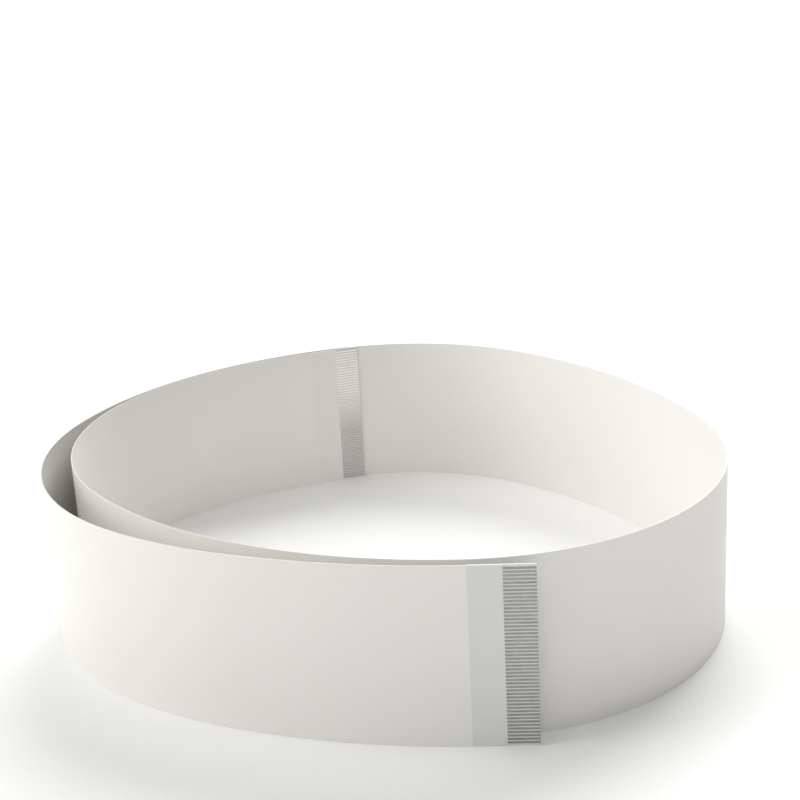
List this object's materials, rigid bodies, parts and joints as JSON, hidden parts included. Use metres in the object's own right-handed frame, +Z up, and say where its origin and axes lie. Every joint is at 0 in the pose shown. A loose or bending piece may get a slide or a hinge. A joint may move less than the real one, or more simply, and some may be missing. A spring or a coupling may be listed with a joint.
{
  "type": "flat flex cable",
  "caption": "Flat flexible cable: tinned flat conductors between two white films, a stiffened bare contact end at each tip on opposite faces, wound on edge into an open coil.",
  "frame": {"origin": "middle of the coil's footprint, on the surface that the cable's lower edge stands on", "axes": "+Z up, across the cable's width; the outer end's tip points along +X and its bare contacts face -Y"},
  "size_m": [0.1028, 0.0986, 0.0255],
  "materials": {
    "conductor": "tin-plated copper, dull satin",
    "film": "white polyester film, soft gloss",
    "stiffener": "white polyester stiffener, satin"
  },
  "bodies": {
    "root": {"conductor_01": "conductor", "conductor_02": "conductor", "conductor_03": "conductor", "conductor_04": "conductor", "conductor_05": "conductor", "conductor_06": "conductor", "conductor_07": "conductor", "conductor_08": "conductor", "conductor_09": "conductor", "conductor_10": "conductor", "conductor_11": "conductor", "conductor_12": "conductor", "conductor_13": "conductor", "conductor_14": "conductor", "conductor_15": "conductor", "conductor_16": "conductor", "conductor_17": "conductor", "conductor_18": "conductor", "conductor_19": "conductor", "conductor_20": "conductor", "conductor_21": "conductor", "conductor_22": "conductor", "conductor_23": "conductor", "conductor_24": "conductor", "conductor_25": "conductor", "conductor_26": "conductor", "conductor_27": "conductor", "conductor_28": "conductor", "conductor_29": "conductor", "conductor_30": "conductor", "conductor_31": "conductor", "conductor_32": "conductor", "conductor_33": "conductor", "conductor_34": "conductor", "conductor_35": "conductor", "conductor_36": "conductor", "conductor_37": "conductor", "conductor_38": "conductor", "conductor_39": "conductor", "conductor_40": "conductor", "conductor_41": "conductor", "conductor_42": "conductor", "conductor_43": "conductor", "conductor_44": "conductor", "conductor_45": "conductor", "conductor_46": "conductor", "conductor_47": "conductor", "conductor_48": "conductor", "conductor_49": "conductor", "conductor_50": "conductor", "film_outer": "film", "film_inner": "film", "stiffener_outer_end": "stiffener", "stiffener_inner_end": "stiffener"}
  },
  "joints": []
}
